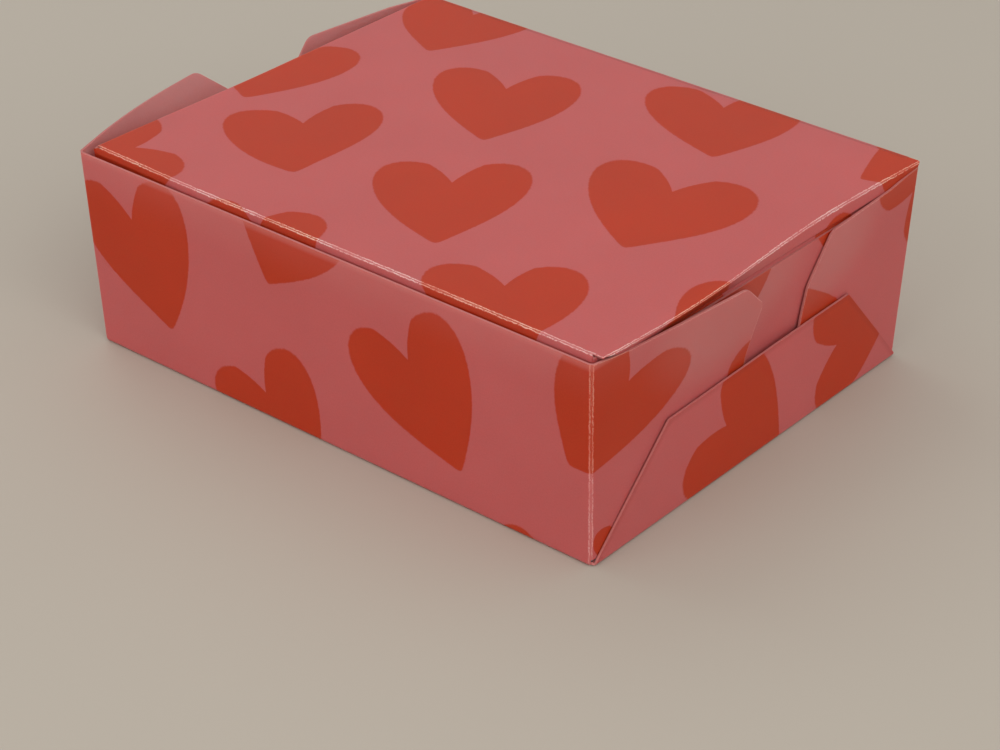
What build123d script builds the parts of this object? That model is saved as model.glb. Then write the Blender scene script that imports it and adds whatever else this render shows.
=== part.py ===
"""Folded card box: an open tray and the lid that turns on the tray's back fold.

Millimetres, +Z up. The origin is on the floor under the middle of the bottom. The long side runs along X,
the front wall faces -Y and the lid's fold is along the back, at +Y.
"""
import os

from build123d import *

# Tray
LENGTH = 111.0
WIDTH = 88.8
HEIGHT = 37.4
CARD = 0.4
FOLD_RADIUS = 0.6
LAP = 1.0
WALL_LEAN = 1.4
END_LEAN = 0.5

# Side tabs: they run from the front and back walls on to each end, and leave a slanted slit between them
SLIT_FROM_MIDDLE = 0.8
SLIT_SLANT = 6.5
NEAR_SLIT_WIDTH = 15.0
FAR_SLIT_WIDTH = 12.0
TAB_FOOT = 1.2
SHOULDER_RUN = 8.8
NEAR_SHOULDER_DROP = 0.9
FAR_SHOULDER_DROP = 0.0
NEAR_TOP_DROP = 1.8
FAR_TOP_DROP = 0.8
TAB_CORNER_RUN = 5.6
TAB_CORNER_DROP = 5.2
NEAR_BACK_CORNER_DROP = 8.2
TAB_CORNER_RADIUS = 2.0

# Degrees by which the top of each side tab stands open
NEAR_FRONT_SWING = 4.5
NEAR_BACK_SWING = 4.5
FAR_FRONT_SWING = 14.5
FAR_BACK_SWING = 9.0

# Bottom tabs: they stand outside the side tabs, off the same end of the bottom
BOTTOM_TAB_HEIGHT = 19.5
BOTTOM_TAB_SKEW = 1.3
BOTTOM_TAB_TAPER = 19.6
BOTTOM_TAB_GAP = 0.2
BOTTOM_TAB_LIFT = 0.5

# Lid
LID_FRONT_INSET = 2.4
LID_NEAR_INSET = -0.2
LID_FAR_INSET = 1.5
LID_CLEARANCE = 0.4
HINGE_GAP = 0.3
FRONT_SKIRT_DEPTH = 23.0
FRONT_SKIRT_LEAN = 1.6
END_SKIRT_DEPTH = 21.5
END_SKIRT_MARGIN = 5.0
END_SKIRT_TAPER = 4.0
SKIRT_STEP_DROP = 2.6
CREASE_RADIUS = 0.45
SKIRT_CORNER_RADIUS = 3.0
EAR_DROP = 3.1
EAR_CORNER_DROP = 0.6
EAR_CORNER_RUN = 4.5

INNER_RADIUS = FOLD_RADIUS - CARD / 2
OUTER_RADIUS = FOLD_RADIUS + CARD / 2
OUTSIDE = WIDTH / 4


def wall_face(z):
    """Distance of a wall's outer face from the middle of the box at height z."""
    return WIDTH / 2 - WALL_LEAN * (1 - z / HEIGHT)


def end_face(z):
    """Distance of an end's outer face from the middle of the box at height z, where its tabs begin."""
    return LENGTH / 2 - END_LEAN * (1 - z / HEIGHT)


def rounded_face(points, radii):
    """Closed outline with the named corners rounded; radii gives a radius for the number of a corner."""
    face = make_face(Polyline(*points, close=True))
    for number, radius in radii.items():
        corner = face.vertices().sort_by_distance(Vector(*points[number]))[0]
        face = fillet(corner, radius)
    return face


def across(outline, start, length):
    """Outline drawn with Y across and Z up, carried along X from start."""
    return extrude(Pos(start, 0, 0) * (Plane.YZ * outline), amount=length)


def flap_section(z, wall, start_x, face_x, reach, swing):
    """Card at height z: round the corner from a wall facing -Y, then straight along an end facing +X.

    The fold stops swing degrees short of square, so the flap stands open by that much.
    """
    fold_start = (face_x - OUTER_RADIUS, wall + CARD / 2)
    lap = Line((start_x - LAP, wall + CARD / 2), fold_start)
    corner = JernArc(fold_start, (1, 0), FOLD_RADIUS, 90 - swing)
    run = PolarLine(corner @ 1, reach, direction=corner % 1)
    return Pos(0, 0, z) * trace(lap + corner + run, CARD)


def side_tab(reach_at_rim, reach_at_floor, swing, shoulder_drop, top_drop, corner_drop):
    """Tab off the front wall at the near end: upright behind the bottom tab, bent outwards above it."""
    reach = max(reach_at_rim, reach_at_floor) + OUTER_RADIUS
    start_x = end_face(0) - OUTER_RADIUS
    sections = []
    for z, open_by in ((TAB_FOOT, 0), (BOTTOM_TAB_HEIGHT, 0), (HEIGHT, swing)):
        sections.append(flap_section(z, -wall_face(z), start_x, end_face(z), reach, open_by))
    top = HEIGHT - top_drop
    corner_z = top - corner_drop
    slant = (reach_at_rim - reach_at_floor) / HEIGHT
    front = -WIDTH / 2

    def end_at(z):
        return front + reach_at_floor + slant * z

    points = [
        (front - CARD, TAB_FOOT),
        (end_at(TAB_FOOT), TAB_FOOT),
        (end_at(corner_z), corner_z),
        (end_at(corner_z) - TAB_CORNER_RUN, top),
        (front + SHOULDER_RUN, HEIGHT - shoulder_drop),
        (front + CARD, HEIGHT - HINGE_GAP - CARD),
        (front - CARD, HEIGHT - HINGE_GAP - CARD),
    ]
    outline = rounded_face(points, {2: TAB_CORNER_RADIUS, 3: TAB_CORNER_RADIUS})
    return loft(sections, ruled=True) & across(outline, LENGTH / 2 - OUTSIDE, 2 * OUTSIDE)


def bottom_tab():
    """Tab off the near end of the bottom, standing a little off the side tabs at its top."""
    lean = END_LEAN / HEIGHT + BOTTOM_TAB_LIFT / BOTTOM_TAB_HEIGHT
    inner = end_face(0) + BOTTOM_TAB_GAP
    outer = inner + CARD
    tall = BOTTOM_TAB_HEIGHT + BOTTOM_TAB_SKEW
    start = end_face(0) - OUTER_RADIUS
    section = [
        (start, 0),
        (outer, 0),
        (outer + lean * tall, tall),
        (inner + lean * tall, tall),
        (inner + lean * CARD, CARD),
        (start, CARD),
    ]
    face = rounded_face(section, {1: OUTER_RADIUS, 4: INNER_RADIUS})
    half = wall_face(0) - OUTER_RADIUS
    bent = extrude(Plane.XZ * face, amount=half, both=True)
    skew = BOTTOM_TAB_SKEW / 2
    trapezoid = [
        (-half, 0),
        (half, 0),
        (half, OUTER_RADIUS),
        (WIDTH / 2 - BOTTOM_TAB_TAPER, BOTTOM_TAB_HEIGHT + skew),
        (BOTTOM_TAB_TAPER - WIDTH / 2, BOTTOM_TAB_HEIGHT - skew),
        (-half, OUTER_RADIUS),
    ]
    return bent & across(make_face(Polyline(*trapezoid, close=True)), LENGTH / 2 - OUTSIDE, 2 * OUTSIDE)


def near_end(front_swing, back_swing, slit_width, shoulder_drop, top_drop, back_corner_drop):
    """All that folds on to one end of the tray, made for the near end."""
    reach_rim = WIDTH / 2 - SLIT_FROM_MIDDLE
    reach_floor = reach_rim - SLIT_SLANT
    rest = WIDTH - slit_width
    front_tab = side_tab(reach_rim, reach_floor, front_swing, shoulder_drop, top_drop, TAB_CORNER_DROP)
    back_tab = side_tab(
        rest - reach_rim, rest - reach_floor, back_swing, shoulder_drop, top_drop, back_corner_drop
    )
    return [front_tab, mirror(back_tab, about=Plane.XZ), bottom_tab()]


def box_tray():
    """Front wall, bottom and back wall in one strip, with the tabs of both ends."""
    back_top = HEIGHT - HINGE_GAP - CARD / 4
    section = [
        (-wall_face(HEIGHT), HEIGHT),
        (-wall_face(0), 0),
        (wall_face(0), 0),
        (wall_face(back_top), back_top),
        (wall_face(back_top) - CARD, back_top),
        (wall_face(CARD) - CARD, CARD),
        (CARD - wall_face(CARD), CARD),
        (CARD - wall_face(HEIGHT), HEIGHT),
    ]
    folds = {1: OUTER_RADIUS, 2: OUTER_RADIUS, 5: INNER_RADIUS, 6: INNER_RADIUS}
    half = end_face(0) - OUTER_RADIUS
    strip = across(rounded_face(section, folds), -half, 2 * half)
    near = near_end(
        NEAR_FRONT_SWING, NEAR_BACK_SWING, NEAR_SLIT_WIDTH, NEAR_SHOULDER_DROP, NEAR_TOP_DROP,
        NEAR_BACK_CORNER_DROP,
    )
    far = near_end(
        FAR_FRONT_SWING, FAR_BACK_SWING, FAR_SLIT_WIDTH, FAR_SHOULDER_DROP, FAR_TOP_DROP, TAB_CORNER_DROP
    )
    tray = strip
    for piece in near + [mirror(piece, about=Plane.YZ) for piece in far]:
        tray += piece
    return tray


def front_skirt_face(z):
    """Place of the front skirt's outer face along Y at height z."""
    below = HEIGHT + CARD - z
    return LID_FRONT_INSET - WIDTH / 2 + FRONT_SKIRT_LEAN * below / (FRONT_SKIRT_DEPTH + CARD)


def ear_face():
    """Distance of an ear's outer face from the middle of the box, clear of the tabs down to its foot."""
    return end_face(HEIGHT - END_SKIRT_DEPTH) - CARD - LID_CLEARANCE


def end_skirt(crease_x):
    """Near end of the lid: the crease, the step inwards under it and the upright skirt."""
    top = HEIGHT + CARD
    flat_start = crease_x - OUTER_RADIUS - LAP
    step_z = HEIGHT - SKIRT_STEP_DROP
    foot = HEIGHT - END_SKIRT_DEPTH
    face_x = ear_face() - CARD
    section = [
        (flat_start, top),
        (crease_x, top),
        (face_x, step_z),
        (face_x, foot),
        (face_x - CARD, foot),
        (face_x - CARD, step_z),
        (crease_x - CARD, HEIGHT),
        (flat_start, HEIGHT),
    ]
    face = rounded_face(section, {1: CREASE_RADIUS})
    front = front_skirt_face(top) + OUTER_RADIUS
    back = WIDTH / 2 - HINGE_GAP
    bent = extrude(Plane.XZ * face, amount=WIDTH, both=True)
    skirt = [
        (front, top),
        (front, HEIGHT),
        (front + END_SKIRT_MARGIN, HEIGHT - CARD),
        (front + END_SKIRT_MARGIN, foot),
        (back - END_SKIRT_MARGIN - END_SKIRT_TAPER, foot),
        (back - END_SKIRT_MARGIN, HEIGHT - CARD),
        (back, HEIGHT),
        (back, top),
    ]
    outline = rounded_face(skirt, {4: SKIRT_CORNER_RADIUS})
    return bent & across(outline, 0, LENGTH)


def ear_band(low, high, tip):
    """Part of an ear between two heights, from the front skirt round the corner and back to tip."""
    face_x = ear_face()
    sections = []
    for z in (low, high):
        wall = front_skirt_face(z)
        sections.append(flap_section(z, wall, face_x - OUTER_RADIUS, face_x, tip - wall - OUTER_RADIUS, 0))
    return loft(sections, ruled=True)


def ear():
    """End of the front skirt, folded round and stuck to the outside of the end skirt, higher at its front corner."""
    top = HEIGHT - EAR_DROP
    back_tip = WIDTH / 2 - HINGE_GAP - END_SKIRT_MARGIN - END_SKIRT_TAPER
    corner_tip = front_skirt_face(top) + EAR_CORNER_RUN
    return ear_band(HEIGHT - END_SKIRT_DEPTH, top, back_tip) + ear_band(top, HEIGHT - EAR_CORNER_DROP, corner_tip)


def hinged_lid():
    """Lid panel with its front skirt, end skirts and ears."""
    top = HEIGHT + CARD
    foot = HEIGHT - FRONT_SKIRT_DEPTH
    back = WIDTH / 2 - HINGE_GAP
    section = [
        (back, top),
        (front_skirt_face(top), top),
        (front_skirt_face(foot), foot),
        (front_skirt_face(foot) + CARD, foot),
        (front_skirt_face(HEIGHT) + CARD, HEIGHT),
        (back, HEIGHT),
    ]
    near_crease = LENGTH / 2 - LID_NEAR_INSET
    far_crease = LENGTH / 2 - LID_FAR_INSET
    ear_fold = ear_face() - OUTER_RADIUS
    near = min(near_crease - OUTER_RADIUS - LAP / 2, ear_fold)
    far = min(far_crease - OUTER_RADIUS - LAP / 2, ear_fold)
    lid = across(rounded_face(section, {1: OUTER_RADIUS, 4: INNER_RADIUS}), -far, far + near)
    lid += end_skirt(near_crease)
    lid += mirror(end_skirt(far_crease), about=Plane.YZ)
    lid += ear()
    lid += mirror(ear(), about=Plane.YZ)
    return lid


os.makedirs("parts", exist_ok=True)
export_step(box_tray(), "parts/box_tray.step")
export_step(hinged_lid(), "parts/hinged_lid.step")
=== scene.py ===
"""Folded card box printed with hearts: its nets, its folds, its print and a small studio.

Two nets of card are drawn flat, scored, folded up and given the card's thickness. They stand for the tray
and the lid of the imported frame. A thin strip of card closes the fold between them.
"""
import math

import bmesh
import bpy
from bpy.props import FloatProperty, FloatVectorProperty, PointerProperty
from bpy.types import Operator, Panel, PropertyGroup
from mathutils import Matrix, Vector


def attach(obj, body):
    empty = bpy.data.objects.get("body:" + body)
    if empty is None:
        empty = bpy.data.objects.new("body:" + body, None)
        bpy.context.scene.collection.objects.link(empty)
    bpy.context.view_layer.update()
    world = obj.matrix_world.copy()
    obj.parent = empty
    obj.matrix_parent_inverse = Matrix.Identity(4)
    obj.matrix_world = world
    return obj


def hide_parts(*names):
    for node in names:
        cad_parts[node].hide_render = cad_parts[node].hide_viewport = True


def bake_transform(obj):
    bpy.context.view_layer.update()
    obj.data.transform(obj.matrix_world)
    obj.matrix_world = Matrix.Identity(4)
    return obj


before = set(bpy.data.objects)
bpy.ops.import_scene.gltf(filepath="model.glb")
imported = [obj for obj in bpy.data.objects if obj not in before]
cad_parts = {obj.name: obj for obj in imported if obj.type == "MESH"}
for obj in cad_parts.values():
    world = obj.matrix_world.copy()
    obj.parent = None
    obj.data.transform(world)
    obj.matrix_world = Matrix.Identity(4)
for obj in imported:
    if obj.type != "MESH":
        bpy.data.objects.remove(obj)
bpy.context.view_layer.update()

bl_info = {
    "name": "Heart Print Card Box",
    "version": (1, 0, 0),
    "blender": (4, 5, 0),
    "location": "View3D > Sidebar > Card Box",
    "description": "Draws, folds and prints a small card box with a tuck-in lid",
    "category": "Add Mesh",
}

MM = 0.001
UP = Vector((0.0, 0.0, 1.0))
SQUARE = math.pi / 2
NEAR = 1
FAR = -1
FRONT = -1
BACK = 1
ENDS = ((NEAR, "near"), (FAR, "far"))
WALLS = ((FRONT, "front wall"), (BACK, "back wall"))

# Score lines across one fold, and the flat margin beside it that keeps the panels' shading flat
FOLD_STEPS = 6
FOLD_MARGIN = 0.35 * MM

# Share of a fold's half width from which a point belongs to the flat panel beside it
FOLD_EDGE = 0.999

# Distances within which panels are joined, a score line meets a point, and the folded sheet is welded
JOIN_REACH = 0.01 * MM
SCORE_REACH = 0.002 * MM
WELD_REACH = 0.03 * MM

# Steps of a rounded corner, the corners of an outline that are rounded, and the angle of a sharp edge
ROUND_STEPS = 5
TAB_CUT_CORNERS = (2, 3)
SKIRT_BACK_CORNER = 3
SHARP_ANGLE = math.radians(50)

# Sockets of a mix of two colours
MIX_FACTOR = 0
MIX_LOW = 6
MIX_HIGH = 7
MIX_RESULT = 2

# Wear of a fold or a cut edge, from 0 to 1
FULL_WEAR = 1.0
# On the side tabs' cut edges this wear paints a pale line: painted highlight and rubbed film
EDGE_HIGHLIGHT_AND_WEAR = 0.85
STRIP_WEAR = 0.8
FAR_CREASE_WEAR = 0.6
FAR_TAB_WEAR = 0.5
FOOT_WEAR = 0.45
SLIGHT_WEAR = 0.3
NO_WEAR = 0.0

# How much of the wear shows as cracks in the film
TRAY_CRACKS = 0.45
LID_CRACKS = 1.0

# One heart is x^2 + (y - lobe + dent)^2 = 1, with lobe = LOBE_HEIGHT * |x|^LOBE_POWER * (1 + uneven * x).
# The dent cuts its notch deeper, and the roundings blunt the notch and the tip.
LOBE_POWER = 0.7
LOBE_HEIGHT = 0.9
LOBE_ROUNDING = 0.0001
TIP_ROUNDING = 0.004
NOTCH_DEPTH = 0.2
NOTCH_HALF_WIDTH = 0.35
# Part of a heart's length over which the dent and the blunt tip come in
HEART_FADE = 0.5
# Half width of a heart's soft edge, and how far that edge wanders, as shares of the heart
INK_SOFTNESS = 0.015
INK_WANDER = 0.03

# Noises: scale, detail and roughness. The scale is per millimetre on the sheet, per metre on edges and floor
NOISE_MEAN = 0.5
FIBRE_NOISE = (3.2, 3.0, 0.65)
CLOUD_NOISE = (0.045, 3.0, 0.5)
INK_NOISE = (1.4, 2.0, 0.5)
WANDER_NOISE = (0.8, 4.0, 0.7)
BREAK_NOISE = (2.1, 3.0, 0.6)
PATCH_NOISE = (0.13, 2.0, 0.5)
BACK_FIBRE_NOISE = (2.6, 4.0, 0.7)
BACK_CLOUD_NOISE = (0.05, 3.0, 0.5)
EDGE_NOISE = (1800.0, 2.0, 0.5)
FLOOR_NOISE = (6.0, 3.0, 0.5)

# Mottling: how far the fibres and the clouding show, and the contrast that they give each colour
FILM_TONE = (0.9, 0.7)
BACK_TONE = (0.6, 0.8)
PINK_CONTRAST = 0.12
RED_CONTRAST = 0.14
BACK_CONTRAST = 0.14
EDGE_CONTRAST = 0.18
FLOOR_CONTRAST = 0.04

# Roughness: the film's, how far fibres and clouding change it, what a crack adds, and the others' ranges
FILM_ROUGHNESS = 0.40
FILM_ROUGH_TONE = (0.12, 0.16)
CRACK_ROUGHNESS = 0.15
BACK_ROUGHNESS = (0.52, 0.72)
EDGE_ROUGHNESS = (0.6, 0.8)
FLOOR_ROUGHNESS = (0.55, 0.65)

# Relief of the film as multiples of RELIEF_DEPTH, and how strongly it shows on both sides of the card
RELIEF_DEPTH = 0.1 * MM
FIBRE_RELIEF = 0.35
CLOUD_RELIEF = 1.2
CRACK_RELIEF = 1.6
FILM_BUMP = 0.16
BACK_BUMP = 0.22

# Light that spreads inside the card: its share, its reach in red, green and blue, and that reach's scale
GLOW_SHARE = 0.7
GLOW_RADIUS = (1.0, 0.35, 0.3)
GLOW_SCALE = 1.4 * MM

# Painted sheen and rubbed film in millimetres on the sheet: an oval round each tab's tip, and two bands
# below the rim
TIP_ASIDE = 88.0
TIP_WIDTH = 24.0
TIP_HEIGHT = 16.0
TRAY_TIP_DROP = 4.0
EAR_TIP = 46.0
RIM_BAND = 9.0
RIM_LINE = (1.8, 0.2)
# A rim or tip past the edge of the sheet, for a piece that shows none
NO_RIM = 200.0
# Where the oval starts to fade and where it ends, in its squared radius
TIP_FADE = (0.15, 1.0)

# Strength of the painted sheen and rubbed film from the least to the greatest clouding, at the rim's line,
# and its share on hearts
RIM_SHEEN_AND_RUB = (0.10, 0.35)
TIP_SHEEN_AND_RUB = (0.2, 0.6)
RIM_LINE_SHEEN_AND_RUB = 0.45
HEART_SHEEN_AND_RUB = 0.4

# Painted shade line along the bottom tabs' edges: where it starts and ends, and its strength
SHADE_LINE_FADE = (0.0, 0.9)
SHADE_LINE_STRENGTH = 0.22

# Cracks run beside the middle of a fold, at shares of its wear, and break up; the middle is rubbed
CRACK_PLACE = (0.18, 0.38)
CRACK_WANDER = (0.32, 0.68)
CRACK_SOFTNESS = (0.03, 0.17)
CRACK_BREAKS = (0.30, 0.52)
CRACK_START = (0.02, 0.12)
RUB_START = (0.30, 0.95)
RUB_WANDER = (0.40, 0.70)
RUB_STRENGTH = (0.05, 0.37)
PATCH_RANGE = (0.36, 0.60)
PATCH_STRENGTH = (0.6, 1.0)

# Hearts of the lid's side of the sheet, in millimetres from the middle of the box and with +Y to the back:
# x, y, tilt in degrees, half width, half length from notch to tip, slant, uneven lobes
LID_HEARTS = (
    (-39.5, 33.8, 20, 12.9, 10.6, 0.11, 0.11),
    (-52.2, -2.1, 21, 13.1, 11.2, 0.02, -0.02),
    (-28.0, -19.4, 60, 14.8, 10.3, 0.38, -0.40),
    (-10.8, 12.2, 29, 13.4, 12.3, 0.0, -0.06),
    (23.4, 31.5, 27, 14.1, 11.5, -0.06, 0.0),
    (6.7, -21.6, 40, 13.4, 12.5, 0.11, -0.09),
    (33.9, -2.0, 17, 14.8, 12.5, 0.02, -0.15),
    (36.2, -41.7, 36, 13.1, 11.2, -0.05, 0.0),
    (64.1, -24.3, 6, 12.2, 10.4, 0.12, 0.0),
    (72.0, 14.0, 20, 12.0, 10.5, 0.0, 0.0),
    (56.1, 41.1, -22, 12.9, 11.0, 0.02, -0.03),
    (-52.7, -46.0, -29, 12.9, 10.7, -0.01, -0.03),
    (-11.7, -53.0, 21, 12.8, 10.5, -0.01, -0.02),
    (91.3, -47.8, -4, 11.0, 10.0, 0.0, 0.0),
    (121.5, -50.9, 4, 11.5, 10.0, 0.0, 0.0),
    (-80.0, -52.0, 24, 12.0, 10.4, 0.0, 0.0),
    (-112.0, -55.0, 35, 12.0, 10.4, 0.0, 0.0),
)

# Hearts of the tray's side: y runs up the front wall, from the middle of the bottom
TRAY_HEARTS = (
    (-40.6, 61.8, 9, 14.0, 11.7, -0.20, 0.28),
    (-9.0, 79.2, -21, 13.0, 10.9, -0.02, -0.01),
    (-10.0, 40.2, 33, 13.0, 10.9, 0.01, 0.01),
    (23.3, 58.8, 26, 13.5, 11.6, -0.09, 0.13),
    (38.8, 27.6, 28, 12.0, 10.3, 0.0, 0.0),
    (57.6, 67.3, -30, 15.4, 10.3, 0.28, 0.0),
    (61.0, 43.5, -10, 6.0, 3.4, 0.0, 0.0),
    (107.0, 53.0, 25, 13.0, 11.0, 0.0, 0.0),
    (60.1, 1.0, -35, 13.5, 11.5, 0.0, 0.0),
    (68.3, -31.6, 10, 13.0, 11.0, 0.0, 0.0),
    (84.8, -59.3, 20, 12.0, 10.8, 0.0, 0.0),
    (50.4, -81.6, -45, 12.4, 10.8, 0.0, 0.0),
    (22.0, -59.0, 24, 13.0, 11.0, 0.0, 0.0),
    (-10.0, -68.0, 32, 13.0, 11.0, 0.0, 0.0),
    (-41.0, -57.0, 14, 13.2, 11.2, 0.0, 0.0),
    (31.0, -13.0, 30, 13.0, 11.0, 0.0, 0.0),
    (2.0, 6.0, 22, 13.0, 11.0, 0.0, 0.0),
    (-28.0, 8.0, 38, 13.0, 11.0, 0.0, 0.0),
    (1.0, -32.0, 12, 13.0, 11.0, 0.0, 0.0),
    (-33.0, -25.0, 26, 13.0, 11.0, 0.0, 0.0),
    (-60.0, 16.0, 18, 12.4, 10.6, 0.0, 0.0),
    (-64.0, -22.0, 30, 12.4, 10.6, 0.0, 0.0),
    (-77.0, 70.0, 28, 12.4, 10.6, 0.0, 0.0),
    (-92.0, 51.0, 8, 12.4, 10.6, 0.0, 0.0),
    (-74.0, -62.0, 25, 12.4, 10.6, 0.0, 0.0),
)


def length(name, description, default):
    """Size of a piece in metres, shown to a tenth of a millimetre."""
    return FloatProperty(name=name, description=description, default=default, unit="LENGTH", precision=4)


def angle(name, description, default):
    """Angle given in degrees and kept in radians."""
    return FloatProperty(name=name, description=description, default=math.radians(default), unit="ROTATION")


def tint(name, description, default):
    """Colour of a finish, linear."""
    return FloatVectorProperty(
        name=name, description=description, default=default, size=3, subtype="COLOR", min=0.0, max=1.0
    )


def position(name, description, default):
    """Place of a lamp or of the camera, in metres."""
    return FloatVectorProperty(
        name=name, description=description, default=default, size=3, subtype="XYZ", unit="LENGTH"
    )


def power(name, description, default):
    """Power of a lamp in watts."""
    return FloatProperty(name=name, description=description, default=default, unit="POWER")


class BoxSizes(PropertyGroup):
    """Sizes that the tray and the lid share."""

    length: length("Length", "Outside length at the rim", 0.111)
    width: length("Width", "Outside width at the rim", 0.0888)
    height: length("Height", "Height of the walls", 0.0374)
    card: length("Card", "Thickness of the card", 0.0004)
    fold_radius: length("Fold radius", "Outer radius of an ordinary fold", 0.0008)
    wall_lean: length("Wall lean", "How far the rim overhangs the foot of the long walls", 0.0014)
    end_lean: length("End lean", "How far the rim overhangs the foot of the ends", 0.0005)
    near_flare: length("Near flare", "How far the near back corner of the rim leans out", 0.0008)
    far_flare: length("Far flare", "How far the far front corner of the rim leans out", 0.0006)
    lid_flare: length("Lid flare", "How far the far front corner of the lid leans out", 0.0010)
    lid_back: length("Lid back", "How far the far front corner of the lid lies back", 0.0007)
    grid: length("Grid", "Spacing of the score lines that let a panel curve", 0.004)


class TabSizes(PropertyGroup):
    """Tabs folded on to the ends of the tray."""

    slit_from_middle: length("Slit from middle", "Slit's front edge at the rim, before the middle", 0.0008)
    slit_slant: length("Slit slant", "How far the slit runs back from floor to rim", 0.0065)
    near_slit: length("Near slit", "Width of the slit at the near end", 0.0155)
    far_slit: length("Far slit", "Width of the slit at the far end", 0.012)
    foot: length("Foot", "Height at which the side tabs begin", 0.0012)
    shoulder_run: length("Shoulder run", "Distance of a tab's shoulder from its wall", 0.0088)
    near_shoulder: length("Near shoulder", "Drop of the shoulder at the near end", 0.0009)
    far_shoulder: length("Far shoulder", "Drop of the shoulder at the far end", 0.0)
    near_top: length("Near top", "Drop of the tabs' top below the rim at the near end", 0.0018)
    far_top: length("Far top", "Drop of the tabs' top below the rim at the far end", 0.0002)
    corner_run: length("Corner run", "Length of the cut corner along the top", 0.0056)
    corner_drop: length("Corner drop", "Length of the cut corner down the free edge", 0.0052)
    near_back_corner: length("Near back corner", "The same on the near end's back tab", 0.0082)
    corner_round: length("Corner round", "Rounding of the tabs' cut corners", 0.0011)
    back_rim: length("Back rim", "Drop of the back wall's rim at its folds", 0.0005)
    back_middle: length("Back middle", "Drop of the back wall's rim between its folds", 0.0003)
    near_back_top: length("Near back top", "How much lower the near end's back tab is", 0.0008)
    # Width of the painted shade along the bottom tabs' cut edges
    line_width: length("Line width", "Width of the shaded line along the bottom tabs' cut edges", 0.0013)
    # Width of the pale line along the side tabs' cut edges: painted highlight and rubbed film
    highlight_and_rub_width: length("Rub width", "Width of the rubbed line along the side tabs' cut edges", 0.0004)
    near_front_swing: angle("Near front swing", "How far this tab's top stands open", 4.5)
    near_back_swing: angle("Near back swing", "How far this tab's top stands open", 1.5)
    far_front_swing: angle("Far front swing", "How far this tab's top stands open", 14.5)
    far_back_swing: angle("Far back swing", "How far this tab's top stands open", 9.0)
    far_front_bow: length("Far front bow", "How far the middle of this tab's top bows outwards", 0.0013)
    bottom_height: length("Bottom tab height", "Height of the bottom tabs in their middle", 0.0195)
    bottom_skew: length("Bottom tab skew", "Height by which the back of a bottom tab is higher", 0.0013)
    bottom_taper: length("Bottom tab taper", "How far the tab's top corner is from the wall", 0.0196)
    bottom_gap: length("Bottom tab gap", "Gap between a bottom tab and the side tabs", 0.0001)
    bottom_lift: length("Bottom tab lift", "How far the top of a bottom tab stands off", 0.0002)


class LidSizes(PropertyGroup):
    """The lid, its skirts and its ears."""

    front_inset: length("Front inset", "Distance of the front crease behind the front wall's rim", 0.0024)
    near_inset: length("Near inset", "Distance of the near crease inside the near end", -0.0002)
    far_inset: length("Far inset", "Distance of the far crease inside the far end", 0.0015)
    clearance: length("Clearance", "Running gap between the ears and the tabs", 0.0004)
    hinge_gap: length("Hinge gap", "Gap that the back fold leaves", 0.0003)
    front_band: length("Front band", "Width of the sloping band under the front crease", 0.0013)
    front_slope: angle("Front slope", "Slope of the band under the front crease", 60.0)
    skirt_depth: length("Front skirt depth", "Depth of the front skirt below the rim", 0.023)
    skirt_lean: length("Front skirt lean", "How far the foot of the front skirt leans in", 0.0016)
    end_depth: length("End skirt depth", "Depth of the end skirts below the rim", 0.0215)
    end_margin: length("End skirt margin", "Distance of the end skirt from the lid's corners", 0.005)
    end_taper: length("End skirt taper", "How much more the skirt's back is cut at its foot", 0.004)
    end_round: length("End skirt round", "Rounding of the end skirt's back corner", 0.003)
    front_wing: length("Front wing", "Depth of the crease's turned edge at the front corner", 0.0016)
    back_wing: length("Back wing", "Depth of the end skirt at the back corner", 0.0022)
    step_drop: length("Step drop", "Depth of the step under the end crease", 0.0026)
    band_depth: length("Band depth", "Depth of the upright band under the end crease", 0.0024)
    band_lean: angle("Band lean", "How far the band under the end crease leans in", 10.0)
    jog_radius: length("Jog radius", "Radius of the two small folds under the band", 0.00025)
    crease_radius: length("Crease radius", "Outer radius of the end creases", 0.00045)
    ear_drop: length("Ear drop", "Drop of the ears' top below the rim", 0.0031)
    corner_drop: length("Corner drop", "Drop of the ears' front corner below the rim", 0.0003)
    corner_run: length("Corner run", "Length of the ears' higher front corner", 0.0045)
    corner_slope: length("Corner slope", "Length of the slope from that corner to the ears' top", 0.001)
    far_relief: length("Far relief", "How far the front crease stops short of the far ear", 0.001)
    strip_card: length("Strip card", "Thickness of the strip round the back fold", 0.00015)
    strip_radius: length("Strip radius", "Outer radius of the strip round the back fold", 0.0005)
    strip_lap: length("Strip lap", "Half of the strip's lap over the lid and the back wall", 0.0004)
    strip_proud: length("Strip proud", "How far the strip stands proud of the lid", 0.00003)
    ear_bulge: length("Ear bulge", "How far the top of the near ear bulges outwards", 0.0012)
    wave: length("Crease wave", "How far the near crease runs out in front and in at the back", 0.0010)
    wave_reach: length("Wave reach", "How far the wave reaches into the lid", 0.016)
    sag: length("Crease sag", "How far the middle of the near crease sinks", 0.00025)


class CardColours(PropertyGroup):
    """Inks, bare card and wear."""

    pink: tint("Pink", "Ground of the print", (0.53, 0.112, 0.112))
    red: tint("Red", "Ink of the hearts", (0.47, 0.040, 0.012))
    worn_pink: tint("Worn pink", "Cracked film over the pink", (0.86, 0.59, 0.57))
    worn_red: tint("Worn red", "Cracked film over the red", (0.87, 0.52, 0.42))
    # Painted sheen and rubbed film near the rims and round the tabs' tips
    sheen_and_rub: tint("Haze", "Rubbed film near the rims", (0.56, 0.22, 0.21))
    back: tint("Back", "Unprinted side of the card", (0.50, 0.225, 0.22))
    edge: tint("Edge", "Cut edge of the card", (0.50, 0.16, 0.15))
    # Colour of the painted shade line along the bottom tabs' edges
    line: tint("Line", "Shaded line along the bottom tabs' edges", (0.22, 0.022, 0.016))


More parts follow.
